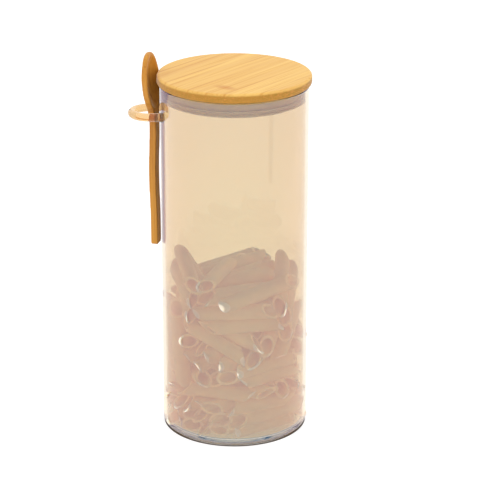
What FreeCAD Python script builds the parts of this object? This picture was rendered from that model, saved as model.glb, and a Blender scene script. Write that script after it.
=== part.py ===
"""Glass storage jar with a bamboo plug lid, silicone seal and a bamboo spoon hung in a glass loop.

Millimetres. The origin is the centre of the jar's flat base, +Z is up and the loop stands on the -X
side. Each piece is one solid, written to parts/NODE.step.
"""
import FreeCAD
import Part
import math
import os

V = FreeCAD.Vector
UP = V(0, 0, 1)

# Jar: a straight borosilicate tube, closed by a thick flat base
JAR_OD = 85.0
JAR_WALL = 2.0
JAR_HEIGHT = 207.2
BASE_THICKNESS = 3.0
HEEL_RADIUS = 3.0            # outer edge of the base
FLOOR_RADIUS = 2.5           # inner edge of the floor

# Loop: a bent glass rod, fused to the wall by both ends, that carries the spoon
LOOP_ROD_D = 4.6
LOOP_GAP = 13.6              # clear width between its two bars
LOOP_BAR_LENGTH = 7.8        # straight length of each bar beyond the wall
LOOP_BELOW_RIM = 17.4        # from the jar's rim down to the rod's centre line
WELD_SWELL = 0.9             # how far the fused foot swells past the rod, all round

# Lid: a bamboo disc with a plug under it, and a groove round the plug
LID_OVERHANG = 1.57          # how far the disc stands out past the jar's wall
LID_THICKNESS = 5.6
LID_EDGE_RADIUS = 1.6
LID_LIFT_GAP = 0.3           # between the disc and the glass rim
PLUG_DEPTH = 9.0
PLUG_CHAMFER = 0.5
GROOVE_DEPTH = 1.4
GROOVE_HEIGHT = 2.8
GROOVE_BELOW_LID = 3.3       # from the disc's underside to the top of the groove

# Seal: a silicone band with two fins outside and one rib inside, which sits in the groove
SEAL_BAND = 2.0              # radial thickness of the band
SEAL_REACH = 2.0             # how far the fins stand out from the band
SEAL_END_GAP = 0.3           # band's ends, from the disc above and past the plug below
SEAL_RUN = 0.05              # running clearance between the band and the plug
WALL_RUN = 0.1               # running clearance between the fins and the glass
RIB_END_GAP = 0.2            # above and below the rib, inside the groove
FIN_ROOT = 1.3
FIN_TIP = 0.6
FIN_RISE = 0.5               # how much higher the tip of a fin is than its root
FIN_PITCH = 2.6              # from the root of one fin to the root of the next

# Spoon: cut from one strip of bamboo, hanging by its shoulders on the loop's bars
HANDLE_LENGTH = 79.0         # below the loop's centre line
HANDLE_WIDTH = 8.4
HANDLE_THICKNESS = 3.9
HANDLE_BOW = 0.7             # how far the handle stands out at its most bowed place
HANDLE_BOW_DROP = 36.0       # from the loop's centre line down to that place
HANDLE_STRAIGHT = 14.0       # length of the straight run at the handle's end
HANDLE_END_RADIUS = 1.8
BOWL_WIDTH = 25.6
BOWL_RISE = 18.0             # from the loop's centre line up to the widest place
BOWL_TIP = 17.0              # from the widest place up to the tip
BOWL_DEPTH = 6.2             # from the rim plane to the belly
BOWL_RIM = 3.1               # thickness of the bowl's side edge
BOWL_LEAN = 1.5              # how far the tip leans out past the widest place
BELLY_MARGIN = 0.6           # from the outline in to the belly's edge
HOLLOW_DEPTH = 4.3
HOLLOW_MARGIN = 2.4          # width of the flat rim around the hollow
NECK_DROP = 6.0              # from the loop's centre line down to where the shoulders begin
SHOULDER_ANGLE = 24.0        # of the shoulders, from the vertical
SPOON_TWIST = 14.5           # turn of the spoon about the vertical
SPOON_CLEAR = 0.4            # between the spoon and the jar's wall, and the spoon and the lid
SHOULDER_CLEAR = 0.55        # between the spoon's shoulders and the loop's bars

# Worked out from the sizes above
jar_r = JAR_OD / 2
mouth_r = jar_r - JAR_WALL
rod_r = LOOP_ROD_D / 2
loop_z = JAR_HEIGHT - LOOP_BELOW_RIM
bar_y = LOOP_GAP / 2 + rod_r
lid_r = jar_r + LID_OVERHANG
lid_z = JAR_HEIGHT + LID_LIFT_GAP
band_r = mouth_r - WALL_RUN - SEAL_REACH
plug_r = band_r - SEAL_BAND - SEAL_RUN
plug_z = lid_z - PLUG_DEPTH
groove_z = lid_z - GROOVE_BELOW_LID


def line(a, b):
    return Part.makeLine(a, b)


def profile_point(r, z):
    """A point of a lathe profile, at radius r and height z."""
    return V(r, 0, z)


def lathe(edges):
    """Turn a closed profile in the XZ half plane about the Z axis."""
    face = Part.Face(Part.Wire(Part.__sortEdges__(edges)))
    return face.revolve(V(0, 0, 0), UP, 360)


def polygon_lathe(points):
    """Turn a straight-sided profile, given as (radius, height) pairs."""
    corners = [profile_point(r, z) for r, z in points]
    pairs = zip(corners, corners[1:] + corners[:1])
    return lathe([line(a, b) for a, b in pairs])


def corner_arc(centre_r, centre_z, radius, start, end):
    """An arc of a lathe profile, between two angles in degrees from the outward direction."""
    def at(angle):
        turn = math.radians(angle)
        return profile_point(centre_r + radius * math.cos(turn), centre_z + radius * math.sin(turn))
    return Part.Arc(at(start), at((start + end) / 2), at(end)).toShape()


def jar_body():
    """Tube and base in one skin of glass, with a fire-polished rim."""
    lip = JAR_WALL / 2
    lip_z = JAR_HEIGHT - lip
    floor_r = mouth_r - FLOOR_RADIUS
    heel_r = jar_r - HEEL_RADIUS
    floor_top = BASE_THICKNESS + FLOOR_RADIUS
    return lathe([
        line(profile_point(0, 0), profile_point(heel_r, 0)),
        corner_arc(heel_r, HEEL_RADIUS, HEEL_RADIUS, -90, 0),
        line(profile_point(jar_r, HEEL_RADIUS), profile_point(jar_r, lip_z)),
        corner_arc(mouth_r + lip, lip_z, lip, 0, 180),
        line(profile_point(mouth_r, lip_z), profile_point(mouth_r, floor_top)),
        corner_arc(floor_r, floor_top, FLOOR_RADIUS, 0, -90),
        line(profile_point(floor_r, BASE_THICKNESS), profile_point(0, BASE_THICKNESS)),
        line(profile_point(0, BASE_THICKNESS), profile_point(0, 0)),
    ])


def spoon_loop():
    """U-shaped rod, its two feet swollen where they fuse and cut to the jar's wall."""
    wall_x = -math.sqrt(jar_r ** 2 - bar_y ** 2)
    bend_x = wall_x - LOOP_BAR_LENGTH
    inside_x = wall_x + JAR_WALL / 2
    near, far = V(inside_x, -bar_y, loop_z), V(inside_x, bar_y, loop_z)
    bend_near, bend_far = V(bend_x, -bar_y, loop_z), V(bend_x, bar_y, loop_z)
    bend_top = V(bend_x - bar_y, 0, loop_z)
    path = Part.Wire([line(near, bend_near), Part.Arc(bend_near, bend_top, bend_far).toShape(),
                      line(bend_far, far)])
    section = Part.Wire(Part.makeCircle(rod_r, near, V(-1, 0, 0)))
    rod = path.makePipeShell([section], True, False)
    foot_r = rod_r + WELD_SWELL
    for side in (-1, 1):
        rod = rod.fuse(Part.makeSphere(foot_r, V(wall_x, side * bar_y, loop_z)))
    jar_core = Part.makeCylinder(jar_r, 4 * foot_r, V(0, 0, loop_z - 2 * foot_r))
    return rod.cut(jar_core).removeSplitter()


def lid():
    """Disc, plug and groove, turned as one piece of laminated bamboo."""
    disc = Part.makeCylinder(lid_r, LID_THICKNESS, V(0, 0, lid_z))
    disc = disc.makeFillet(LID_EDGE_RADIUS, [e for e in disc.Edges if e.isClosed()])
    plug = Part.makeCylinder(plug_r, PLUG_DEPTH, V(0, 0, plug_z))
    bottom = [e for e in plug.Edges if e.isClosed() and abs(e.CenterOfMass.z - plug_z) < PLUG_CHAMFER]
    plug = plug.makeChamfer(PLUG_CHAMFER, bottom)
    groove = polygon_lathe([(plug_r - GROOVE_DEPTH, groove_z), (jar_r, groove_z),
                            (jar_r, groove_z - GROOVE_HEIGHT),
                            (plug_r - GROOVE_DEPTH, groove_z - GROOVE_HEIGHT)])
    return disc.fuse(plug.cut(groove)).removeSplitter()


def seal_ring():
    """Silicone band: the rib inside sits in the plug's groove, the fins outside meet the glass."""
    inner_r = plug_r + SEAL_RUN
    rib_r = inner_r - GROOVE_DEPTH + SEAL_RUN
    top = lid_z - SEAL_END_GAP
    bottom = plug_z - SEAL_END_GAP
    rib_top = groove_z - RIB_END_GAP
    rib_bottom = groove_z - GROOVE_HEIGHT + RIB_END_GAP
    tip_r = mouth_r - WALL_RUN
    ring = polygon_lathe([(inner_r, bottom), (band_r, bottom), (band_r, top), (inner_r, top),
                          (inner_r, rib_top), (rib_r, rib_top), (rib_r, rib_bottom),
                          (inner_r, rib_bottom)])
    for step in range(2):
        root = bottom + step * FIN_PITCH
        tip = root + FIN_RISE + (FIN_ROOT - FIN_TIP) / 2
        fin = polygon_lathe([(band_r - SEAL_BAND / 4, root), (band_r, root), (tip_r, tip),
                             (tip_r, tip + FIN_TIP), (band_r, root + FIN_ROOT),
                             (band_r - SEAL_BAND / 4, root + FIN_ROOT)])
        ring = ring.fuse(fin)
    return ring.removeSplitter()


def spoon_face_x(half_width, clear_r):
    """Distance from the jar's axis of a twisted flat face whose far corner is at clear_r."""
    twist = math.radians(SPOON_TWIST)
    return (math.sqrt(clear_r ** 2 - (half_width * math.cos(twist)) ** 2)
            + half_width * math.sin(twist))


# Spoon frame: X is its thickness with + towards the jar and 0 at the handle's inner face,
# Y its width, Z its length with 0 at the loop's centre line.
spoon_x = spoon_face_x(HANDLE_WIDTH / 2, jar_r + SPOON_CLEAR)
rim_x = spoon_x - spoon_face_x(BOWL_WIDTH / 2, lid_r + SPOON_CLEAR)
tip_z = BOWL_RISE + BOWL_TIP


def smooth(points, tangents):
    """A smooth edge through points, with the direction that it has at each."""
    curve = Part.BSplineCurve()
    curve.interpolate(Points=points, Tangents=tangents, TangentFlags=[t.Length > 0 for t in tangents])
    return curve.toShape()


def egg(depth, half_width, half_length):
    """An egg turned about an upright axis in front of the plane X = 0.

    It reaches depth behind that plane, and cuts it in an oval of the given half width and length.
    """
    girth = (half_width ** 2 + depth ** 2) / (2 * depth)
    height = half_length * girth / half_width
    oval = Part.Ellipse(V(0, 0, height), V(girth, 0, 0), V(0, 0, 0))
    side = Part.ArcOfEllipse(oval, 0, math.pi).toShape()
    shape = lathe([side, line(V(0, 0, -height), V(0, 0, height))])
    shape.translate(V(girth - depth, 0, 0))
    return shape


def spoon_outline():
    """Outline in the YZ plane: straight handle, shoulders that clear the bars, and a round tip."""
    twist, slope = math.radians(SPOON_TWIST), math.radians(SHOULDER_ANGLE)
    bar_reach = (bar_y - HANDLE_THICKNESS * math.sin(twist)) / math.cos(twist)
    stand_off = rod_r + SHOULDER_CLEAR
    shoulder_y = bar_reach - stand_off * math.cos(slope)
    shoulder_z = stand_off * math.sin(slope)
    half, hip = BOWL_WIDTH / 2, HANDLE_WIDTH / 2
    eighth = math.pi / 4
    flat, round_z = hip - HANDLE_END_RADIUS, HANDLE_END_RADIUS - HANDLE_LENGTH
    edges = [line(V(0, -flat, -HANDLE_LENGTH), V(0, flat, -HANDLE_LENGTH))]
    for side in (-1, 1):
        neck, widest = V(0, side * hip, -NECK_DROP), V(0, side * half, BOWL_RISE)
        tip = V(0, 0, tip_z)
        shoulder = V(0, side * shoulder_y, shoulder_z)
        shoulder_run = V(0, side * math.sin(slope), math.cos(slope)) * BOWL_RISE
        round_corner = V(0, side * half * math.cos(eighth), BOWL_RISE + BOWL_TIP * math.sin(eighth))
        end_middle = V(0, side * (flat + HANDLE_END_RADIUS * math.sin(eighth)),
                       round_z - HANDLE_END_RADIUS * math.cos(eighth))
        edges.append(Part.Arc(V(0, side * flat, -HANDLE_LENGTH), end_middle,
                              V(0, side * hip, round_z)).toShape())
        edges.append(line(V(0, side * hip, round_z), neck))
        edges.append(smooth([neck, shoulder, widest],
                            [UP * NECK_DROP, shoulder_run, UP * BOWL_RISE]))
        tip_run = V(0, -side * half, 0) * 2 * eighth
        edges.append(smooth([widest, round_corner, tip],
                            [UP * BOWL_TIP * 2 * eighth, V(0, 0, 0), tip_run]))
    return Part.Face(Part.Wire(Part.__sortEdges__(edges)))


def side_edge(end_x, bowed_x, widest_x, tip_x):
    """Side view of one face of the spoon: its straight end, and the S-curve up to the tip."""
    straight = V(end_x, 0, HANDLE_STRAIGHT - HANDLE_LENGTH)
    free = V(0, 0, 0)
    curve = smooth([straight, V(bowed_x, 0, -HANDLE_BOW_DROP), V(end_x, 0, -NECK_DROP),
                    V(widest_x, 0, BOWL_RISE), V(tip_x, 0, tip_z)],
                   [UP * HANDLE_STRAIGHT, UP * HANDLE_BOW_DROP, free, free, free])
    return [line(V(end_x, 0, -HANDLE_LENGTH), straight), curve]


def spoon():
    """Handle and bowl as one strip of bamboo, hollowed on the side that looks at the jar."""
    half = BOWL_WIDTH / 2
    mid_length = (BOWL_RISE + BOWL_TIP) / 2
    back, tip_x = -HANDLE_THICKNESS, rim_x - BOWL_LEAN
    ends = [line(V(0, 0, -HANDLE_LENGTH), V(back, 0, -HANDLE_LENGTH)),
            line(V(tip_x, 0, tip_z), V(tip_x - BOWL_RIM, 0, tip_z))]
    face = side_edge(0, -HANDLE_BOW, rim_x, tip_x)
    rear = side_edge(back, back - HANDLE_BOW, rim_x - BOWL_RIM, tip_x - BOWL_RIM)
    plate = Part.Face(Part.Wire(Part.__sortEdges__(face + rear + ends))).extrude(V(0, 2 * half, 0))
    plate.translate(V(0, -half, 0))
    lean = math.degrees(math.atan2(-rim_x + BOWL_LEAN, BOWL_TIP + BOWL_RISE))
    belly = egg(BOWL_DEPTH - BOWL_RIM / 2, half - BELLY_MARGIN, mid_length - BELLY_MARGIN)
    corner = V(-BOWL_DEPTH, -half, -mid_length)
    belly = belly.common(Part.makeBox(BOWL_DEPTH, 2 * half, 2 * mid_length, corner))
    belly.translate(V(-BOWL_RIM / 2, 0, 0))
    hollow = egg(HOLLOW_DEPTH, half - HOLLOW_MARGIN, mid_length - HOLLOW_MARGIN)
    for body in (belly, hollow):
        body.rotate(V(0, 0, 0), V(0, 1, 0), -lean)
        body.translate(V(rim_x, 0, BOWL_RISE))
    outline = spoon_outline().extrude(V(4 * BOWL_DEPTH, 0, 0))
    outline.translate(V(-3 * BOWL_DEPTH, 0, 0))
    whole = plate.fuse(belly).common(outline).cut(hollow).removeSplitter()
    whole.rotate(V(0, 0, 0), UP, -SPOON_TWIST)
    whole.translate(V(-spoon_x, 0, loop_z))
    return whole


PIECES = {
    "jar_body": jar_body,
    "spoon_loop": spoon_loop,
    "lid": lid,
    "seal_ring": seal_ring,
    "spoon": spoon,
}

os.makedirs("parts", exist_ok=True)
for node, make in PIECES.items():
    shape = make()
    if not shape.isValid() or len(shape.Solids) != 1:
        raise RuntimeError(node + " isn't one valid solid")
    shape.Solids[0].exportStep("parts/" + node + ".step")
    box = shape.optimalBoundingBox()
    print(f"{node}: {shape.Volume / 1000:.1f} cm3, X {box.XMin:.2f} {box.XMax:.2f},"
          f" Y {box.YMin:.2f} {box.YMax:.2f}, Z {box.ZMin:.2f} {box.ZMax:.2f}")
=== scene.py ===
"""Lidded glass storage jar: amber glass, bamboo lid with a silicone seal, and a hung bamboo spoon.

Metres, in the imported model's frame: the origin is the centre of the jar's base and +Z is up.
"""

import math

import bmesh
import bpy
import numpy as np
from bpy.props import FloatProperty, FloatVectorProperty, IntProperty, PointerProperty
from bpy.types import Operator, Panel, PropertyGroup
from mathutils import Euler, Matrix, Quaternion, Vector


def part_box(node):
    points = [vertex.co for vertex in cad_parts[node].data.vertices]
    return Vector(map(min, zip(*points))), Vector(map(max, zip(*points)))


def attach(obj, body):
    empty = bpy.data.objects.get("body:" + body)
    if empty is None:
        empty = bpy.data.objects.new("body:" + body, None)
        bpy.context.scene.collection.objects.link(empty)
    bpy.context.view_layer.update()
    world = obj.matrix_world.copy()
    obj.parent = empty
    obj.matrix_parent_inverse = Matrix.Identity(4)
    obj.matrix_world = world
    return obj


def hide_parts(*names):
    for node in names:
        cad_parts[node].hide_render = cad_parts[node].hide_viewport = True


bl_info = {
    "name": "Lidded Glass Storage Jar",
    "version": (1, 0, 0),
    "blender": (4, 5, 0),
    "location": "3D View > Sidebar > Storage Jar",
    "description": "Builds a tinted glass storage jar with its bamboo lid, seal and spoon",
    "category": "Object",
}

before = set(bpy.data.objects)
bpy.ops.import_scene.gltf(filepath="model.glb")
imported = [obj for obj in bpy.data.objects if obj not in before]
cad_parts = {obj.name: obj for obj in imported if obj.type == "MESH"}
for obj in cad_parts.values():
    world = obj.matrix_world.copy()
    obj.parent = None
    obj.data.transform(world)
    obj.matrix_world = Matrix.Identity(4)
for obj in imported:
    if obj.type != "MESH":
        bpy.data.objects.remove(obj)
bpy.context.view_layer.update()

MM = 0.001
JAR_LOW, JAR_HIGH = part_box("jar_body")
LID_LOW, LID_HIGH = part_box("lid")
SEAL_LOW, SEAL_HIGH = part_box("seal_ring")
LOOP_LOW, LOOP_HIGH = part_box("spoon_loop")


def linear(hex_colour):
    """Linear red, green and blue of an sRGB colour written as #RRGGBB."""
    parts = [int(hex_colour[i:i + 2], 16) / 255 for i in (1, 3, 5)]
    return tuple(c / 12.92 if c <= 0.04045 else ((c + 0.055) / 1.055) ** 2.4 for c in parts)


def rgba(colour):
    """A colour of three parts as the four that a node's socket takes."""
    return (*tuple(colour)[:3], 1.0)


def length(name, description, millimetres):
    """A length property, with its default given in millimetres."""
    return FloatProperty(name=name, description=description, default=millimetres * MM,
                         unit="LENGTH", precision=5)


def colour(name, description, hex_colour):
    """A colour property, with its default given as sRGB hex."""
    return FloatVectorProperty(name=name, description=description, default=linear(hex_colour),
                               subtype="COLOR", min=0, max=1)


class JarSettings(PropertyGroup):
    """Sizes and colours of the glass."""
    radius: FloatProperty(name="Outer radius", description="Outside radius of the tube",
                          default=JAR_HIGH.x, unit="LENGTH", precision=5)
    height: FloatProperty(name="Height", description="From the ground to the rim",
                          default=JAR_HIGH.z, unit="LENGTH", precision=5)
    wall: length("Wall", "Thickness of the tube's wall", 2.0)
    base: length("Base", "Thickness of the base", 3.0)
    heel: length("Heel radius", "Rounding of the base's outer edge", 3.0)
    floor: length("Floor radius", "Rounding of the inner edge of the floor", 2.5)
    push_up: length("Push-up", "How far the underside rises in its middle", 0.8)
    rod: length("Rod diameter", "Diameter of the loop's glass rod", 4.6)
    swell: length("Weld swell", "How far the rod's fused foot swells past the rod", 0.8)
    swell_run: length("Swell length", "How far along the rod the fused foot reaches", 3.0)
    tint: colour("Tint", "Colour that light takes through one wall", "#ECDCBD")
    body: colour("Body colour", "Colour that light takes on long ways inside the glass", "#D9D4D0")
    rod_tint: colour("Rod tint", "Colour that light takes through the rod", "#EDC48A")
    film: FloatProperty(name="Lustre film",
                        description="Thickness of the jar's lustre in nanometres",
                        default=183.0, min=0)


class BambooSettings(PropertyGroup):
    """Sizes and colours of the lid and the spoon."""
    plug: length("Plug radius", "Radius of the plug under the lid's disc", 36.35)
    disc: length("Disc thickness", "Thickness of the lid's disc", 5.6)
    edge: length("Edge radius", "Rounding of the disc's edges", 1.6)
    groove_depth: length("Groove depth", "Depth of the groove that holds the seal", 1.4)
    groove_height: length("Groove height", "Height of the groove that holds the seal", 2.8)
    groove_drop: length("Groove drop", "From the disc's underside to the groove", 3.3)
    grain_angle: FloatProperty(name="Grain angle", description="Direction of the lid's fibres",
                               default=math.radians(52.5), subtype="ANGLE")
    strip: length("Strip width", "Mean width of a laminated strip of the lid", 9.0)
    face: colour("Face", "Colour of the planed face", "#E9BD66")
    line: colour("Fibre lines", "Colour of the dense fibre bundles", "#CB8A3A")
    # Darker turned edge: partly the end grain's own darker tone, partly painted shade of the faces
    # turned away from the overhead light
    rim: colour("Turned rim", "Colour of the disc's turned edge", "#A07418")
    spoon_face: colour("Spoon", "Colour of the spoon's bamboo", "#CC8E34")
    spoon_line: colour("Spoon fibres", "Colour of the spoon's dense fibre bundles", "#985208")
    voxel: length("Spoon voxel", "Grid that rounds the spoon's edges", 0.35)
    node_along: length("Culm node along", "Place of the lid's dark node, along the grain", -26.8)
    node_across: length("Culm node across", "Place of the lid's dark node, across the grain", -14.2)
    tip_sanding: length("Tip sanding", "How far from its tip the spoon is rounded more", 14.0)


class SealSettings(PropertyGroup):
    """Sizes and colour of the silicone seal."""
    band: length("Band", "Radial thickness of the band", 2.0)
    fin_root: length("Fin root", "Thickness of a fin where it leaves the band", 1.3)
    fin_tip: length("Fin tip", "Thickness of a fin at its tip", 0.6)
    fin_rise: length("Fin rise", "How much higher a fin's tip is than its root", 0.5)
    fin_pitch: length("Fin pitch", "From one fin to the next", 2.6)
    silicone: colour("Silicone", "Colour of the silicone", "#FFF0D4")


class PastaSettings(PropertyGroup):
    """Size and number of the dry penne that the jar is shown with."""
    count: IntProperty(name="Pieces", description="How many pieces of penne", default=130, min=0)
    diameter: length("Diameter", "Outside diameter of a piece", 8.8)
    wall: length("Wall", "Thickness of a piece's wall", 1.2)
    piece: length("Length", "Length of a piece along its axis", 42.0)
    cut: FloatProperty(name="Cut angle", description="Slant of the cut ends",
                       default=math.radians(50), subtype="ANGLE")
    seed: IntProperty(name="Seed", description="Start of the random fall", default=1)
    semolina: colour("Semolina", "Colour of the dried durum wheat", "#FFE7CC")
    inner_tone: colour("Inner tone", "Colour of the light that has soaked through the heap",
                       "#FFDEC6")
    inner_light: FloatProperty(name="Inner light",
                               description="How much light soaks through the heap",
                               default=0.1, min=0)


class StageSettings(PropertyGroup):
    """Floor, light and camera."""
    floor: colour("Floor", "Colour of the floor", "#B4B4B4")
    glow: FloatProperty(name="Floor glow", description="Light from below through the floor",
                        default=0.65, min=0)
    table_tone: colour("Table light", "Colour of the bright table in front of the jar", "#FFF0DA")
    table_power: FloatProperty(name="Table power", description="Brightness of the table in front",
                               default=1.9, min=0)
    horizon: FloatProperty(name="Horizon light", description="Light from the level of the floor",
                           default=1.0, min=0)
    overhead: FloatProperty(name="Overhead light", description="Light from straight above",
                            default=1.35, min=0)


def add(tree, kind, inputs=(), **settings):
    """Add a node with its settings. inputs gives each socket its value, or what feeds it."""
    node = tree.nodes.new(kind)
    for name, value in settings.items():
        setattr(node, name, value)
    for key, value in dict(inputs).items():
        if isinstance(value, bpy.types.NodeSocket):
            tree.links.new(value, node.inputs[key])
        else:
            node.inputs[key].default_value = value
    return node


def new_material(name):
    """An empty material and its tree, with an output node."""
    material = bpy.data.materials.new(name)
    material.use_nodes = True
    material.node_tree.nodes.clear()
    output = add(material.node_tree, "ShaderNodeOutputMaterial")
    return material, material.node_tree, output


def new_shape_tree(name, sockets):
    """A geometry tree with a geometry input, the named inputs, and a geometry output."""
    tree = bpy.data.node_groups.new(name, "GeometryNodeTree")
    tree.interface.new_socket("Geometry", in_out="INPUT", socket_type="NodeSocketGeometry")
    for label, kind in sockets:
        tree.interface.new_socket(label, in_out="INPUT", socket_type="NodeSocket" + kind)
    tree.interface.new_socket("Geometry", in_out="OUTPUT", socket_type="NodeSocketGeometry")
    return tree, add(tree, "NodeGroupInput").outputs


def close_shape_tree(tree, source, geometry):
    """End a geometry tree in Realize Instances and Set Material."""
    real = add(tree, "GeometryNodeRealizeInstances", {0: geometry})
    dressed = add(tree, "GeometryNodeSetMaterial",
                  {0: real.outputs[0], "Material": source["Material"]})
    add(tree, "NodeGroupOutput", {0: dressed.outputs[0]})


def grow(name, carrier, tree, values):
    """Run a geometry tree on a carrier object, and return its result as a plain mesh object."""
    modifier = carrier.modifiers.new("grow", "NODES")
    modifier.node_group = tree
    for item in tree.interface.items_tree:
        if item.in_out == "INPUT" and item.name in values:
            modifier[item.identifier] = values[item.name]
    view = bpy.context.evaluated_depsgraph_get()
    mesh = bpy.data.meshes.new_from_object(carrier.evaluated_get(view))
    carrier.modifiers.remove(modifier)
    bpy.data.objects.remove(carrier)
    return finished(name, mesh)


def finished(name, mesh):
    """A mesh object in the scene, with its doubles merged, its faces pointing out, and smooth."""
    work = bmesh.new()
    work.from_mesh(mesh)
    bmesh.ops.remove_doubles(work, verts=work.verts, dist=MM / 1000)
    bmesh.ops.recalc_face_normals(work, faces=work.faces)
    work.to_mesh(mesh)
    work.free()
    mesh.shade_smooth()
    piece = bpy.data.objects.new(name, mesh)
    bpy.context.scene.collection.objects.link(piece)
    return piece


def curve_object(name, points, closed=False):
    """A curve of straight runs through points."""
    curve = bpy.data.curves.new(name, "CURVE")
    curve.dimensions = "3D"
    spline = curve.splines.new("POLY")
    spline.points.add(len(points) - 1)
    for target, point in zip(spline.points, points):
        target.co = (*point, 1.0)
    spline.use_cyclic_u = closed
    carrier = bpy.data.objects.new(name, curve)
    bpy.context.scene.collection.objects.link(carrier)
    return carrier


SPINDLE = 1 * MM           # radius of the circle that a profile is carried round on
SHARE_GUARD = 0.2 * MM     # a ring of points this near a corner keeps the shading of a flat flat


def arc(centre, radius, start, end, steps=10):
    """Points of a profile's rounded corner, between two angles in degrees from outwards."""
    turns = [math.radians(start + (end - start) * i / steps) for i in range(steps + 1)]
    return [(centre[0] + radius * math.cos(t), centre[1] + radius * math.sin(t)) for t in turns]


def guarded(points, closed):
    """The profile with guard points near the ends of its long straight runs."""
    runs = list(zip(points, points[1:] + points[:1] if closed else points[1:]))
    out = []
    for a, b in runs:
        out.append(a)
        span = math.dist(a, b)
        if span > 4 * SHARE_GUARD:
            share = SHARE_GUARD / span
            for t in (share, 1 - share):
                out.append((a[0] + (b[0] - a[0]) * t, a[1] + (b[1] - a[1]) * t))
    return out if closed else out + [points[-1]]


def lathe_tree():
    """Geometry tree that turns a profile about the vertical axis."""
    tree, source = new_shape_tree("Turned on a lathe",
                                  [("Segments", "Int"), ("Material", "Material")])
    circle = add(tree, "GeometryNodeCurvePrimitiveCircle",
                 {"Resolution": source["Segments"], "Radius": SPINDLE})
    skin = add(tree, "GeometryNodeCurveToMesh",
               {"Curve": circle.outputs["Curve"], "Profile Curve": source["Geometry"]})
    close_shape_tree(tree, source, skin.outputs[0])
    return tree


def turned(name, profile, material, closed=False, segments=256):
    """A turned piece from its profile of (radius, height) pairs."""
    points = [(r - SPINDLE, -z, 0) for r, z in guarded(profile, closed)]
    carrier = curve_object(name, points, closed)
    return grow(name, carrier, lathe_tree(), {"Segments": segments, "Material": material})


def place(piece, body, node):
    """The piece stands for a CAD node and rides on its body."""
    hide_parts(node)
    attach(piece, body)


def glass(name, tint, body, film):
    """Fire-polished borosilicate glass: perfectly smooth, so its look is all reflection and tint.

    The tint colours light once at each wall, as a thin fired lustre does, and stays pale at the
    edges. Where film isn't 0, the lustre is also a film of that many nanometres, which throws
    back a bluish light.
    """
    material, tree, output = new_material(name)
    shader = add(tree, "ShaderNodeBsdfPrincipled", {
        "Base Color": rgba(tint), "Roughness": 0.0, "IOR": 1.47, "Transmission Weight": 1.0,
        "Thin Film Thickness": film, "Thin Film IOR": 1.8})
    per_metre = 30.0
    depth = add(tree, "ShaderNodeVolumeAbsorption", {"Color": rgba(body), "Density": per_metre})
    tree.links.new(shader.outputs["BSDF"], output.inputs["Surface"])
    tree.links.new(depth.outputs["Volume"], output.inputs["Volume"])
    return material


class JAR_OT_glass_body(Operator):
    """Turn the jar's glass tube and base"""
    bl_idname = "jar.glass_body"
    bl_label = "Glass body"

    def execute(self, context):
        s = context.scene.jar_glass
        lip = s.wall / 2
        mouth = s.radius - s.wall
        heel, floor = s.radius - s.heel, mouth - s.floor
        standing_width, steps = 2 * MM, 12
        ring = heel - standing_width
        rise = [(1 - (i / steps) ** 2) ** 2 for i in range(steps)]
        dome = [(ring * i / steps, s.push_up * rise[i]) for i in range(steps)]
        bowl = [(floor * i / steps, s.base + s.push_up / 2 * rise[i]) for i in range(steps)]
        profile = (dome + [(ring, 0)]
                   + arc((heel, s.heel), s.heel, -90, 0, 14)
                   + arc((mouth + lip, s.height - lip), lip, 0, 180, 14)
                   + arc((floor, s.base + s.floor), s.floor, 0, -90, 14)
                   + bowl[::-1])
        material = glass("Lustred borosilicate glass", s.tint, s.body, s.film)
        piece = turned("jar_glass", profile, material)
        place(piece, "jar", "jar_body")
        return {"FINISHED"}


def rod_tree():
    """Geometry tree that draws a round rod along a path, with its two feet swollen."""
    tree, source = new_shape_tree("Bent rod with fused feet", [
        ("Rod radius", "Float"), ("Weld swell", "Float"), ("Swell length", "Float"),
        ("Sides", "Int"), ("Material", "Material")])
    path = add(tree, "GeometryNodeResampleCurve", {"Curve": source["Geometry"], "Count": 180})
    along = add(tree, "GeometryNodeSplineParameter")
    total = add(tree, "GeometryNodeSplineLength")
    rest = add(tree, "ShaderNodeMath", {0: total.outputs["Length"], 1: along.outputs["Length"]},
               operation="SUBTRACT")
    nearest = add(tree, "ShaderNodeMath", {0: along.outputs["Length"], 1: rest.outputs[0]},
                  operation="MINIMUM")
    swell = add(tree, "ShaderNodeMapRange", {
        "Value": nearest.outputs[0], "From Min": 0.0, "From Max": source["Swell length"],
        "To Min": source["Weld swell"], "To Max": 0.0}, interpolation_type="SMOOTHSTEP")
    radius = add(tree, "ShaderNodeMath", {0: source["Rod radius"], 1: swell.outputs[0]},
                 operation="ADD")
    section = add(tree, "GeometryNodeCurvePrimitiveCircle",
                  {"Resolution": source["Sides"], "Radius": 1.0})
    skin = add(tree, "GeometryNodeCurveToMesh", {
        "Curve": path.outputs[0], "Profile Curve": section.outputs["Curve"],
        "Scale": radius.outputs[0], "Fill Caps": True})
    close_shape_tree(tree, source, skin.outputs[0])
    return tree


class JAR_OT_loop(Operator):
    """Bend the glass rod that carries the spoon"""
    bl_idname = "jar.loop"
    bl_label = "Glass loop"

    def execute(self, context):
        s = context.scene.jar_glass
        rod = s.rod / 2
        bend = LOOP_HIGH.y - rod
        middle_x, middle_z = LOOP_LOW.x + rod + bend, (LOOP_LOW.z + LOOP_HIGH.z) / 2
        foot_x = -math.sqrt(s.radius ** 2 - bend ** 2) + s.wall / 2
        turn = arc((middle_x, 0), bend, 270, 90, 48)
        route = [(foot_x, -bend)] + turn + [(foot_x, bend)]
        carrier = curve_object("loop", [(x, y, middle_z) for x, y in route])
        material = glass("Tinted glass rod", s.rod_tint, s.body, film=0.0)
        piece = grow("loop_rod", carrier, rod_tree(), {
            "Rod radius": rod, "Weld swell": s.swell, "Swell length": s.swell_run,
            "Sides": 48, "Material": material})
        place(piece, "jar", "spoon_loop")
        return {"FINISHED"}


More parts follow.
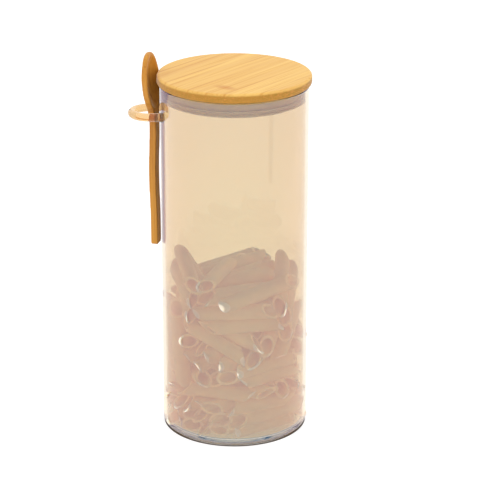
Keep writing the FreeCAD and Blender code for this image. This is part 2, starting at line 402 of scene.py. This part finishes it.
def bamboo(name, turn, face, line, bundle=0.9, rim=None, strip=None, edge_height=0.0,
           culm_node=None):
    """Planed and oiled bamboo: parallel fibre bundles, lines along the grain, dots across it.

    A solid pattern, stretched along the fibres, so that each cut shows what a real cut would.
    """
    material, tree, output = new_material(name)
    place_of = add(tree, "ShaderNodeTexCoord").outputs["Object"]
    along = add(tree, "ShaderNodeMapping", {"Vector": place_of, "Rotation": turn}).outputs[0]

    def stretched(across_mm, along_mm, **inputs):
        """A pattern whose features are this wide across the grain and this long along it."""
        scale = (1 / (along_mm * MM), 1 / (across_mm * MM), 1 / (across_mm * MM))
        scaled = add(tree, "ShaderNodeMapping", {"Vector": along, "Scale": scale})
        return add(tree, "ShaderNodeTexNoise",
                   {"Vector": scaled.outputs[0], "Scale": 1.0, **inputs}).outputs[0]

    def darker(shade, pattern, low, high, least, most):
        """The shade, mixed with the fibres' colour from least to most as the pattern rises."""
        share = add(tree, "ShaderNodeMapRange", {
            "Value": pattern, "From Min": low, "From Max": high, "To Min": least,
            "To Max": most}, interpolation_type="SMOOTHSTEP").outputs[0]
        return add(tree, "ShaderNodeMix", {0: share, 6: shade, 7: rgba(line)},
                   data_type="RGBA").outputs[2]

    # Real fibre bundles are about half a millimetre across, and are drawn coarser so that they show
    bundles = stretched(bundle, 70 * bundle, Detail=3.0)
    fine = stretched(bundle * 0.4, 28 * bundle)
    tone = stretched(6.0, 160.0, Detail=2.0)
    shade = darker(rgba(face), bundles, 0.5, 0.78, 0.0, 0.75)
    shade = darker(shade, fine, 0.55, 0.8, 0.0, 0.35)
    shade = darker(shade, tone, 0.35, 0.7, 0.0, 0.3)
    if strip:
        across = add(tree, "ShaderNodeSeparateXYZ", {0: along}).outputs["Y"]
        cells = {"W": across, "Scale": 1 / strip}
        tint = add(tree, "ShaderNodeTexVoronoi", cells, voronoi_dimensions="1D").outputs["Color"]
        joint = add(tree, "ShaderNodeTexVoronoi", cells, voronoi_dimensions="1D",
                    feature="DISTANCE_TO_EDGE").outputs["Distance"]
        lot = add(tree, "ShaderNodeSeparateXYZ", {0: tint}).outputs["X"]
        shade = darker(shade, lot, 0.0, 1.0, 0.0, 0.2)
        # The glue lines between the strips come and go along the grain
        patchy = add(tree, "ShaderNodeMapRange", {
            "Value": stretched(5.0, 50.0), "From Min": 0.3, "From Max": 0.65, "To Min": 0.0,
            "To Max": 0.85}, interpolation_type="SMOOTHSTEP").outputs[0]
        shade = darker(shade, joint, 0.01, 0.09, patchy, 0.0)
    if culm_node:
        # One strip was cut through a node of the culm, where the fibres cross and darken
        along_run, across_run = 3 * MM, 6 * MM
        off = add(tree, "ShaderNodeVectorMath", {0: along, 1: culm_node},
                  operation="SUBTRACT").outputs[0]
        off = add(tree, "ShaderNodeVectorMath", {0: off, 1: (1 / along_run, 1 / across_run, 0)},
                  operation="MULTIPLY").outputs[0]
        near = add(tree, "ShaderNodeVectorMath", {0: off}, operation="LENGTH").outputs["Value"]
        shade = darker(shade, near, 0.3, 1.6, 0.8, 0.0)
    # Below the top edge, the sides, underside and plug take the rim colour. It is partly the end
    # grain's real darker tone and partly painted shade for faces turned away from the overhead light,
    # with the end-grain speckle over it
    if rim:
        height = add(tree, "ShaderNodeSeparateXYZ", {0: place_of}).outputs["Z"]
        shaded_side = add(tree, "ShaderNodeMapRange", {
            "Value": height, "From Min": edge_height - 1.8 * MM, "From Max": edge_height - 0.5 * MM,
            "To Min": 1.0, "To Max": 0.0}, interpolation_type="SMOOTHSTEP").outputs[0]
        shaded_end_grain = darker(rgba(rim), fine, 0.4, 0.7, 0.0, 1.0)
        shade = add(tree, "ShaderNodeMix", {0: shaded_side, 6: shade, 7: shaded_end_grain},
                    data_type="RGBA").outputs[2]
    bump_height = add(tree, "ShaderNodeMath", {0: bundles, 1: fine}, operation="ADD").outputs[0]
    bump = add(tree, "ShaderNodeBump",
               {"Height": bump_height, "Strength": 0.25, "Distance": 0.08 * MM})
    roughness = add(tree, "ShaderNodeMapRange", {
        "Value": bundles, "From Min": 0.3, "From Max": 0.8, "To Min": 0.42,
        "To Max": 0.6}, interpolation_type="SMOOTHSTEP").outputs[0]
    shader = add(tree, "ShaderNodeBsdfPrincipled", {
        "Base Color": shade, "Roughness": roughness, "Normal": bump.outputs[0], "IOR": 1.5,
        "Specular IOR Level": 0.3})
    tree.links.new(shader.outputs["BSDF"], output.inputs["Surface"])
    return material

class JAR_OT_lid(Operator):
    """Turn the bamboo lid: its disc, plug and groove"""
    bl_idname = "jar.lid"
    bl_label = "Bamboo lid"

    def execute(self, context):
        s = context.scene.jar_bamboo
        top, radius = LID_HIGH.z, LID_HIGH.x
        under = top - s.disc
        groove = under - s.groove_drop
        inner = s.plug - s.groove_depth
        chamfer = 0.5 * MM
        profile = ([(0, top)]
                   + arc((radius - s.edge, top - s.edge), s.edge, 90, 0)
                   + arc((radius - s.edge, under + s.edge), s.edge, 0, -90)
                   + [(s.plug, under), (s.plug, groove), (inner, groove),
                      (inner, groove - s.groove_height), (s.plug, groove - s.groove_height),
                      (s.plug, LID_LOW.z + chamfer), (s.plug - chamfer, LID_LOW.z), (0, LID_LOW.z)])
        material = bamboo("Laminated bamboo, turned and oiled", (0, 0, -s.grain_angle), s.face,
                          s.line,
                          rim=s.rim, strip=s.strip, edge_height=top,
                          culm_node=(s.node_along, s.node_across, 0))
        piece = turned("lid_bamboo", profile, material)
        place(piece, "lid", "lid")
        return {"FINISHED"}


class JAR_OT_seal(Operator):
    """Mould the silicone seal with its two fins"""
    bl_idname = "jar.seal"
    bl_label = "Silicone seal"

    def execute(self, context):
        s = context.scene.jar_seal
        b = context.scene.jar_bamboo
        tip = SEAL_HIGH.x
        inner = b.plug + 0.05 * MM
        outer = inner + s.band
        rib = inner - b.groove_depth + 0.05 * MM
        groove = LID_HIGH.z - b.disc - b.groove_drop
        rib_top, rib_low = groove - 0.2 * MM, groove - b.groove_height + 0.2 * MM
        low, high = SEAL_LOW.z, SEAL_HIGH.z
        half_tip = s.fin_tip / 2
        profile = [(inner, low)]
        for step in range(2):
            root = low + step * s.fin_pitch
            centre = root + s.fin_rise + s.fin_root / 2
            profile += [(outer, root)]
            profile += arc((tip - half_tip, centre), half_tip, -80, 80, 6)
            profile += [(outer, root + s.fin_root)]
        profile += [(outer, high), (inner, high), (inner, rib_top), (rib, rib_top),
                    (rib, rib_low), (inner, rib_low)]
        material, tree, output = new_material("Moulded silicone")
        # Moulded translucent silicone: milky, with a soft wide gloss and a faint dusty tone
        where = add(tree, "ShaderNodeTexCoord").outputs["Object"]
        dust = add(tree, "ShaderNodeTexNoise",
                   {"Vector": where, "Scale": 1 / (4 * MM), "Detail": 4.0})
        tone = add(tree, "ShaderNodeMix", {
            0: dust.outputs[0], 6: rgba(s.silicone), 7: rgba([c * 0.92 for c in s.silicone])},
            data_type="RGBA")
        shader = add(tree, "ShaderNodeBsdfPrincipled", {
            "Base Color": tone.outputs[2], "Roughness": 0.45, "IOR": 1.41,
            "Subsurface Weight": 0.4, "Subsurface Radius": (1.0, 0.8, 0.7),
            "Subsurface Scale": 1.5 * MM})
        tree.links.new(shader.outputs["BSDF"], output.inputs["Surface"])
        piece = turned("seal_silicone", profile, material, closed=True, segments=192)
        place(piece, "seal", "seal_ring")
        return {"FINISHED"}


class JAR_OT_spoon(Operator):
    """Round the edges of the cut bamboo spoon"""
    bl_idname = "jar.spoon"
    bl_label = "Bamboo spoon"

    def execute(self, context):
        s = context.scene.jar_bamboo
        raw = bpy.data.objects.new("spoon_raw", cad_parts["spoon"].data.copy())
        context.scene.collection.objects.link(raw)
        work = bmesh.new()
        work.from_mesh(raw.data)
        bmesh.ops.remove_doubles(work, verts=work.verts, dist=MM / 200)
        work.to_mesh(raw.data)
        work.free()
        raw.data.materials.clear()
        grid = raw.modifiers.new("grid", "REMESH")
        grid.mode, grid.voxel_size = "VOXEL", s.voxel
        mesh = bpy.data.meshes.new_from_object(raw.evaluated_get(context.evaluated_depsgraph_get()))
        bpy.data.objects.remove(raw)
        blank = bpy.data.objects.new("spoon_blank", mesh)
        context.scene.collection.objects.link(blank)
        tip = blank.vertex_groups.new(name="tip")
        top = max(v.co.z for v in mesh.vertices)
        for v in mesh.vertices:
            share = 1 - (top - v.co.z) / s.tip_sanding
            if share > 0:
                tip.add([v.index], share, "REPLACE")
        for group, rounds in (("", 10), ("tip", 70)):
            sand = blank.modifiers.new("sand", "SMOOTH")
            sand.factor, sand.iterations, sand.vertex_group = 0.5, rounds, group
        mesh = bpy.data.meshes.new_from_object(blank.evaluated_get(context.evaluated_depsgraph_get()))
        bpy.data.objects.remove(blank)
        # Fibres run up the spoon, so the pattern's long axis is turned upright
        turn = (0, math.radians(90), 0)
        mesh.materials.append(bamboo("Bamboo, cut and sanded", turn, s.spoon_face, s.spoon_line,
                                     1.6))
        piece = finished("spoon_bamboo", mesh)
        # For the look only, and not physical: no mirror image of the spoon is drawn anywhere,
        # because the flank of the glass would show it as a hard brown band
        piece.visible_glossy = False
        place(piece, "spoon", "spoon")
        return {"FINISHED"}


def closest(p, q):
    """Shares along each pair of rods where they are nearest. p and q are (start, run) arrays."""
    (a, u), (b, v) = p, q
    w = a - b
    uu, vv, uv = (u * u).sum(1), (v * v).sum(1), (u * v).sum(1)
    uw, vw = (u * w).sum(1), (v * w).sum(1)
    slope = np.maximum(uu * vv - uv * uv, 1e-12)
    s = np.clip((uv * vw - vv * uw) / slope, 0, 1)
    t = np.clip((uv * s + vw) / vv, 0, 1)
    s = np.clip((uv * t - uw) / uu, 0, 1)
    return s, t


def fallen(count, run, radius, room, floor, seed):
    """Rods of a given run and radius, let fall into a round room. Gives their ends, in metres."""
    chance = np.random.default_rng(seed)
    # They start one above the other, a little off the middle and tilted
    first, pitch, stray, tilt = 0.02, 0.004, 0.4, 0.8
    middle = np.stack([chance.uniform(-stray, stray, count) * room,
                       chance.uniform(-stray, stray, count) * room,
                       floor + first + pitch * np.arange(count)], 1)
    heading, dip = chance.uniform(0, 2 * math.pi, count), chance.uniform(-tilt, tilt, count)
    way = np.stack([np.cos(heading) * np.cos(dip), np.sin(heading) * np.cos(dip), np.sin(dip)], 1)
    ends = np.stack([middle - way * run / 2, middle + way * run / 2], 1)
    speed = np.zeros_like(ends)
    one, two = np.triu_indices(count, 1)
    step, drop, lay_down = 0.004, 9.8, 0.006
    ticks, calm_from, falling, calming = 460, 260, 0.985, 0.9
    passes, crowding, over_push = 6, 0.25, 1.3
    for tick in range(ticks):
        drag = falling if tick < calm_from else calming
        speed[:, :, 2] -= drop * step
        before = ends.copy()
        ends = ends + speed * step
        for _ in range(passes):
            runs = ends[:, 1] - ends[:, 0]
            size = np.linalg.norm(runs, axis=1, keepdims=True)
            fix = runs / size * (size - run) / 2
            ends[:, 0] += fix
            ends[:, 1] -= fix
            runs = ends[:, 1] - ends[:, 0]
            near = np.linalg.norm((ends[one].mean(1) - ends[two].mean(1)),
                                  axis=1) < run + 2 * radius
            i, j = one[near], two[near]
            s, t = closest((ends[i, 0], runs[i]), (ends[j, 0], runs[j]))
            gap = ends[i, 0] + runs[i] * s[:, None] - ends[j, 0] - runs[j] * t[:, None]
            apart = np.linalg.norm(gap, axis=1)
            hit = apart < 2 * radius
            i, j, s, t = i[hit], j[hit], s[hit], t[hit]
            away = gap[hit] / np.maximum(apart[hit], 1e-9)[:, None]
            push = away * ((2 * radius - apart[hit]) * 0.5)[:, None]
            weight_i = (1 - s) ** 2 + s ** 2
            weight_j = (1 - t) ** 2 + t ** 2
            move = np.zeros_like(ends)
            hits = np.ones((count, 1))
            np.add.at(move[:, 0], i, push * ((1 - s) / weight_i)[:, None])
            np.add.at(move[:, 1], i, push * (s / weight_i)[:, None])
            np.add.at(move[:, 0], j, -push * ((1 - t) / weight_j)[:, None])
            np.add.at(move[:, 1], j, -push * (t / weight_j)[:, None])
            np.add.at(hits, i, crowding)
            np.add.at(hits, j, crowding)
            ends += move / hits[:, None] * over_push
            out = np.linalg.norm(ends[:, :, :2], axis=2)
            limit = room - radius
            back = np.minimum(1, limit / np.maximum(out, 1e-9))
            ends[:, :, :2] *= back[:, :, None]
            ends[:, :, 2] = np.maximum(ends[:, :, 2], floor + radius)
        middle_z = ends[:, :, 2].mean(1, keepdims=True)
        ends[:, :, 2] += (middle_z - ends[:, :, 2]) * lay_down
        speed = (ends - before) / step * drag
    return ends


def pasta_tree():
    """Geometry tree that sets a slant-cut tube at every point."""
    tree, source = new_shape_tree("Penne at points", [
        ("Diameter", "Float"), ("Wall", "Float"), ("Length", "Float"), ("Cut angle", "Float"),
        ("Sides", "Int"), ("Material", "Material")])
    half_wall = add(tree, "ShaderNodeMath", {0: source["Wall"], 1: 0.5},
                    operation="MULTIPLY").outputs[0]
    radius = add(tree, "ShaderNodeMath", {0: source["Diameter"], 1: 0.5},
                 operation="MULTIPLY").outputs[0]
    middle = add(tree, "ShaderNodeMath", {0: radius, 1: half_wall}, operation="SUBTRACT").outputs[0]
    circle = add(tree, "GeometryNodeCurvePrimitiveCircle",
                 {"Resolution": source["Sides"], "Radius": middle})
    section = add(tree, "GeometryNodeCurvePrimitiveQuadrilateral",
                  {"Width": source["Wall"], "Height": source["Length"]})
    tube = add(tree, "GeometryNodeCurveToMesh",
               {"Curve": circle.outputs["Curve"], "Profile Curve": section.outputs[0]})
    # The end faces are marked before the slant cut, so that they can be paler than the rest
    facing = add(tree, "ShaderNodeSeparateXYZ",
                 {0: add(tree, "GeometryNodeInputNormal").outputs[0]})
    upright = add(tree, "ShaderNodeMath", {0: facing.outputs["Z"]}, operation="ABSOLUTE").outputs[0]
    marked = add(tree, "GeometryNodeStoreNamedAttribute",
                 {"Geometry": tube.outputs[0], "Name": "cut_end", "Value": upright},
                 data_type="FLOAT", domain="FACE")
    place_of = add(tree, "ShaderNodeSeparateXYZ",
                   {0: add(tree, "GeometryNodeInputPosition").outputs[0]})
    slope = add(tree, "ShaderNodeMath", {0: source["Cut angle"]}, operation="TANGENT").outputs[0]
    rise = add(tree, "ShaderNodeMath", {0: place_of.outputs["Y"], 1: slope},
               operation="MULTIPLY").outputs[0]
    lift = add(tree, "ShaderNodeCombineXYZ", {"Z": rise})
    cut = add(tree, "GeometryNodeSetPosition",
              {"Geometry": marked.outputs[0], "Offset": lift.outputs[0]})
    bend = add(tree, "GeometryNodeInputMeshEdgeAngle").outputs[0]
    sharp = add(tree, "ShaderNodeMath", {0: bend, 1: math.radians(40)},
                operation="GREATER_THAN").outputs[0]
    edged = add(tree, "GeometryNodeStoreNamedAttribute",
                {"Geometry": cut.outputs[0], "Name": "sharp_edge", "Value": sharp},
                data_type="BOOLEAN", domain="EDGE")
    turn = add(tree, "GeometryNodeInputNamedAttribute", {"Name": "turn"}, data_type="QUATERNION")
    size = add(tree, "GeometryNodeInputNamedAttribute", {"Name": "size"}, data_type="FLOAT_VECTOR")
    copies = add(tree, "GeometryNodeInstanceOnPoints", {
        "Points": source["Geometry"], "Instance": edged.outputs[0],
        "Rotation": turn.outputs[0], "Scale": size.outputs[0]})
    close_shape_tree(tree, source, copies.outputs[0])
    return tree


class JAR_OT_pasta(Operator):
    """Fill the jar with dry penne, which stand with the stage and are no part of the jar"""
    bl_idname = "jar.pasta"
    bl_label = "Penne"

    def execute(self, context):
        s, g = context.scene.jar_pasta, context.scene.jar_glass
        radius = s.diameter / 2
        # The rods that fall are a little thinner than the penne, so that the penne lie close
        bore, floor = g.radius - g.wall - 0.2 * MM, g.base + 0.5 * MM
        ends = fallen(s.count, s.piece - radius, radius * 0.97, bore, floor, s.seed)
        chance = np.random.default_rng(s.seed + 1)
        mesh = bpy.data.meshes.new("penne_places")
        mesh.from_pydata([tuple(p) for p in ends.mean(1)], [], [])
        for name, kind in (("turn", "QUATERNION"), ("size", "FLOAT_VECTOR")):
            mesh.attributes.new(name, kind, "POINT")
        turn, size = mesh.attributes["turn"], mesh.attributes["size"]
        for i, (a, b) in enumerate(ends):
            along = Vector(b - a).to_track_quat("Z", "Y")
            spin = Quaternion((0, 0, 1), chance.uniform(0, 2 * math.pi))
            turn.data[i].value = along @ spin
            size.data[i].vector = (1, 1, chance.uniform(0.9, 1.03))
        carrier = bpy.data.objects.new("penne_places", mesh)
        context.scene.collection.objects.link(carrier)
        material, tree, output = new_material("Dried durum semolina")
        # Extruded and dried semolina dough: matt, a little translucent, paler where it was cut
        where = add(tree, "ShaderNodeTexCoord").outputs["Object"]
        fleck = add(tree, "ShaderNodeTexNoise",
                    {"Vector": where, "Scale": 1 / (6 * MM), "Detail": 5.0})
        tone = add(tree, "ShaderNodeMix", {
            0: fleck.outputs[0], 6: rgba([c * 0.92 for c in s.semolina]),
            7: rgba([c * 0.76 for c in s.semolina])}, data_type="RGBA")
        cut_end = add(tree, "ShaderNodeAttribute", attribute_name="cut_end").outputs["Fac"]
        pale = add(tree, "ShaderNodeMix", {0: cut_end, 6: tone.outputs[2], 7: rgba(s.semolina)},
                   data_type="RGBA")
        # A faint light of its own stands in for the light that soaks from piece to piece
        shader = add(tree, "ShaderNodeBsdfPrincipled", {
            "Base Color": pale.outputs[2], "Roughness": 0.55, "Subsurface Weight": 0.8,
            "Subsurface Radius": (1.0, 0.7, 0.5), "Subsurface Scale": 4 * MM,
            "Emission Color": rgba(s.inner_tone), "Emission Strength": s.inner_light})
        tree.links.new(shader.outputs["BSDF"], output.inputs["Surface"])
        penne = grow("penne", carrier, pasta_tree(), {
            "Diameter": s.diameter, "Wall": s.wall, "Length": s.piece, "Cut angle": s.cut,
            "Sides": 24, "Material": material})
        return {"FINISHED"}


def studio_card(name, tone, strength, half_turn, reach):
    """A ring of card on the floor that shows only in reflections.

    Its light comes from the front. It fades over half_turn to both sides of the front, and with
    the distance over reach.
    """
    sides, hole, edge = 64, 0.045, 1.0     # the hole leaves room for the jar's foot
    row = sides + 1
    inner, outer = arc((0, 0), hole, 0, 360, sides), arc((0, 0), edge, 0, 360, sides)
    mesh = bpy.data.meshes.new(name)
    mesh.from_pydata([(x, y, 1 * MM) for x, y in inner + outer], [],
                     [(i, i + row, i + row + 1, i + 1) for i in range(sides)])
    card = bpy.data.objects.new(name, mesh)
    bpy.context.scene.collection.objects.link(card)
    for ray in ("camera", "transmission", "diffuse", "shadow", "volume_scatter"):
        setattr(card, "visible_" + ray, False)
    material, tree, output = new_material(name)
    light = add(tree, "ShaderNodeEmission", {"Color": rgba(tone), "Strength": strength}).outputs[0]
    where = add(tree, "ShaderNodeTexCoord").outputs["Object"]
    part = add(tree, "ShaderNodeSeparateXYZ", {0: where}).outputs
    aside = add(tree, "ShaderNodeMath", {0: part["X"]}, operation="ABSOLUTE").outputs[0]
    ahead = add(tree, "ShaderNodeMath", {0: part["Y"], 1: -1.0}, operation="MULTIPLY").outputs[0]
    turn = add(tree, "ShaderNodeMath", {0: aside, 1: ahead}, operation="ARCTAN2").outputs[0]
    out = add(tree, "ShaderNodeVectorMath", {0: where}, operation="LENGTH").outputs["Value"]
    by_turn = add(tree, "ShaderNodeMath", {0: turn, 1: half_turn}, operation="DIVIDE").outputs[0]
    by_way = add(tree, "ShaderNodeMath", {0: out, 1: reach}, operation="DIVIDE").outputs[0]
    far = add(tree, "ShaderNodeMath", {0: by_turn, 1: by_way}, operation="MAXIMUM").outputs[0]
    share = add(tree, "ShaderNodeMapRange", {"Value": far, "From Min": 0.45, "From Max": 1.0},
                interpolation_type="SMOOTHERSTEP").outputs[0]
    clear = add(tree, "ShaderNodeBsdfTransparent").outputs[0]
    faded = add(tree, "ShaderNodeMixShader", {0: share, 1: light, 2: clear}).outputs[0]
    tree.links.new(faded, output.inputs["Surface"])
    mesh.materials.append(material)

class JAR_OT_stage(Operator):
    """Lay the floor and set the light and the camera"""
    bl_idname = "jar.stage"
    bl_label = "Stage"

    def execute(self, context):
        scene, s = context.scene, context.scene.jar_stage
        scene.view_settings.view_transform = "Standard"
        # Light crosses the thick glass base in many inner reflections
        light_paths = scene.cycles
        light_paths.max_bounces = 32
        light_paths.glossy_bounces = light_paths.transmission_bounces = 24
        reach = 12.0
        mesh = bpy.data.meshes.new("floor")
        corners = [(-reach, -reach, 0), (reach, -reach, 0), (reach, reach, 0), (-reach, reach, 0)]
        mesh.from_pydata(corners, [], [(0, 1, 2, 3)])
        floor = bpy.data.objects.new("floor", mesh)
        scene.collection.objects.link(floor)
        material, tree, output = new_material("Matt white card")
        # A thin dark line under the heel stands in for the shadow where the jar touches the card
        where = add(tree, "ShaderNodeTexCoord").outputs["Object"]
        out = add(tree, "ShaderNodeVectorMath", {0: where}, operation="LENGTH").outputs["Value"]
        foot, half_width = context.scene.jar_glass.radius - 1.2 * MM, 0.8 * MM
        in_line = add(tree, "ShaderNodeMath", {0: out, 1: foot, 2: half_width},
                      operation="COMPARE").outputs[0]
        heel_shade = (0.15, 0.12, 0.1, 1.0)
        card = add(tree, "ShaderNodeMix", {0: in_line, 6: rgba(s.floor), 7: heel_shade},
                   data_type="RGBA")
        lit = add(tree, "ShaderNodeMapRange", {"Value": in_line, "To Min": s.glow, "To Max": 0.0})
        shader = add(tree, "ShaderNodeBsdfPrincipled", {
            "Base Color": card.outputs[2], "Roughness": 0.9, "Specular IOR Level": 0.1,
            "Emission Color": (1, 1, 1, 1), "Emission Strength": lit.outputs[0]})
        tree.links.new(shader.outputs["BSDF"], output.inputs["Surface"])
        mesh.materials.append(material)

        world = bpy.data.worlds.new("Soft dome")
        scene.world = world
        world.use_nodes = True
        sky = world.node_tree
        sky.nodes.clear()
        way = add(sky, "ShaderNodeTexCoord").outputs["Generated"]
        rise = add(sky, "ShaderNodeSeparateXYZ", {0: way}).outputs["Z"]
        power = add(sky, "ShaderNodeMapRange", {
            "Value": rise, "From Min": 0.0, "From Max": 1.0, "To Min": s.horizon,
            "To Max": s.overhead})
        light = add(sky, "ShaderNodeBackground",
                    {"Color": (1, 1, 1, 1), "Strength": power.outputs[0]})
        add(sky, "ShaderNodeOutputWorld", {"Surface": light.outputs[0]})

        studio_card("front_light_table", s.table_tone, s.table_power, math.radians(150), 0.75)

        camera = bpy.data.cameras.new("camera")
        camera.lens, camera.sensor_width = 161.75, 36.0
        holder = bpy.data.objects.new("camera", camera)
        holder.location = (0.0, -1.1785, 0.5430)
        holder.rotation_euler = Euler((math.radians(90 - 20.0706), 0, math.radians(-0.15265)))
        scene.collection.objects.link(holder)
        scene.camera = holder
        return {"FINISHED"}


class JAR_PT_panel(Panel):
    """Lists the jar's pieces and their settings"""
    bl_label = "Storage Jar"
    bl_idname = "JAR_PT_panel"
    bl_space_type = "VIEW_3D"
    bl_region_type = "UI"
    bl_category = "Storage Jar"

    def draw(self, context):
        for holder, operators in PARTS.items():
            box = self.layout.box()
            settings = getattr(context.scene, holder)
            for name in type(settings).__annotations__:
                box.prop(settings, name)
            for operator in operators:
                box.operator(operator.bl_idname)


GROUPS = {"jar_glass": JarSettings, "jar_bamboo": BambooSettings, "jar_seal": SealSettings,
          "jar_pasta": PastaSettings, "jar_stage": StageSettings}
PARTS = {"jar_glass": (JAR_OT_glass_body, JAR_OT_loop), "jar_bamboo": (JAR_OT_lid, JAR_OT_spoon),
         "jar_seal": (JAR_OT_seal,), "jar_pasta": (JAR_OT_pasta,), "jar_stage": (JAR_OT_stage,)}
CLASSES = [*GROUPS.values(), *(op for row in PARTS.values() for op in row), JAR_PT_panel]


def register():
    for item in CLASSES:
        bpy.utils.register_class(item)
    for name, group in GROUPS.items():
        setattr(bpy.types.Scene, name, PointerProperty(type=group))


def unregister():
    for name in GROUPS:
        delattr(bpy.types.Scene, name)
    for item in reversed(CLASSES):
        bpy.utils.unregister_class(item)


def main():
    register()
    bpy.ops.jar.stage()
    bpy.ops.jar.glass_body()
    bpy.ops.jar.loop()
    bpy.ops.jar.lid()
    bpy.ops.jar.seal()
    bpy.ops.jar.spoon()
    bpy.ops.jar.pasta()


if __name__ == "__main__":
    main()
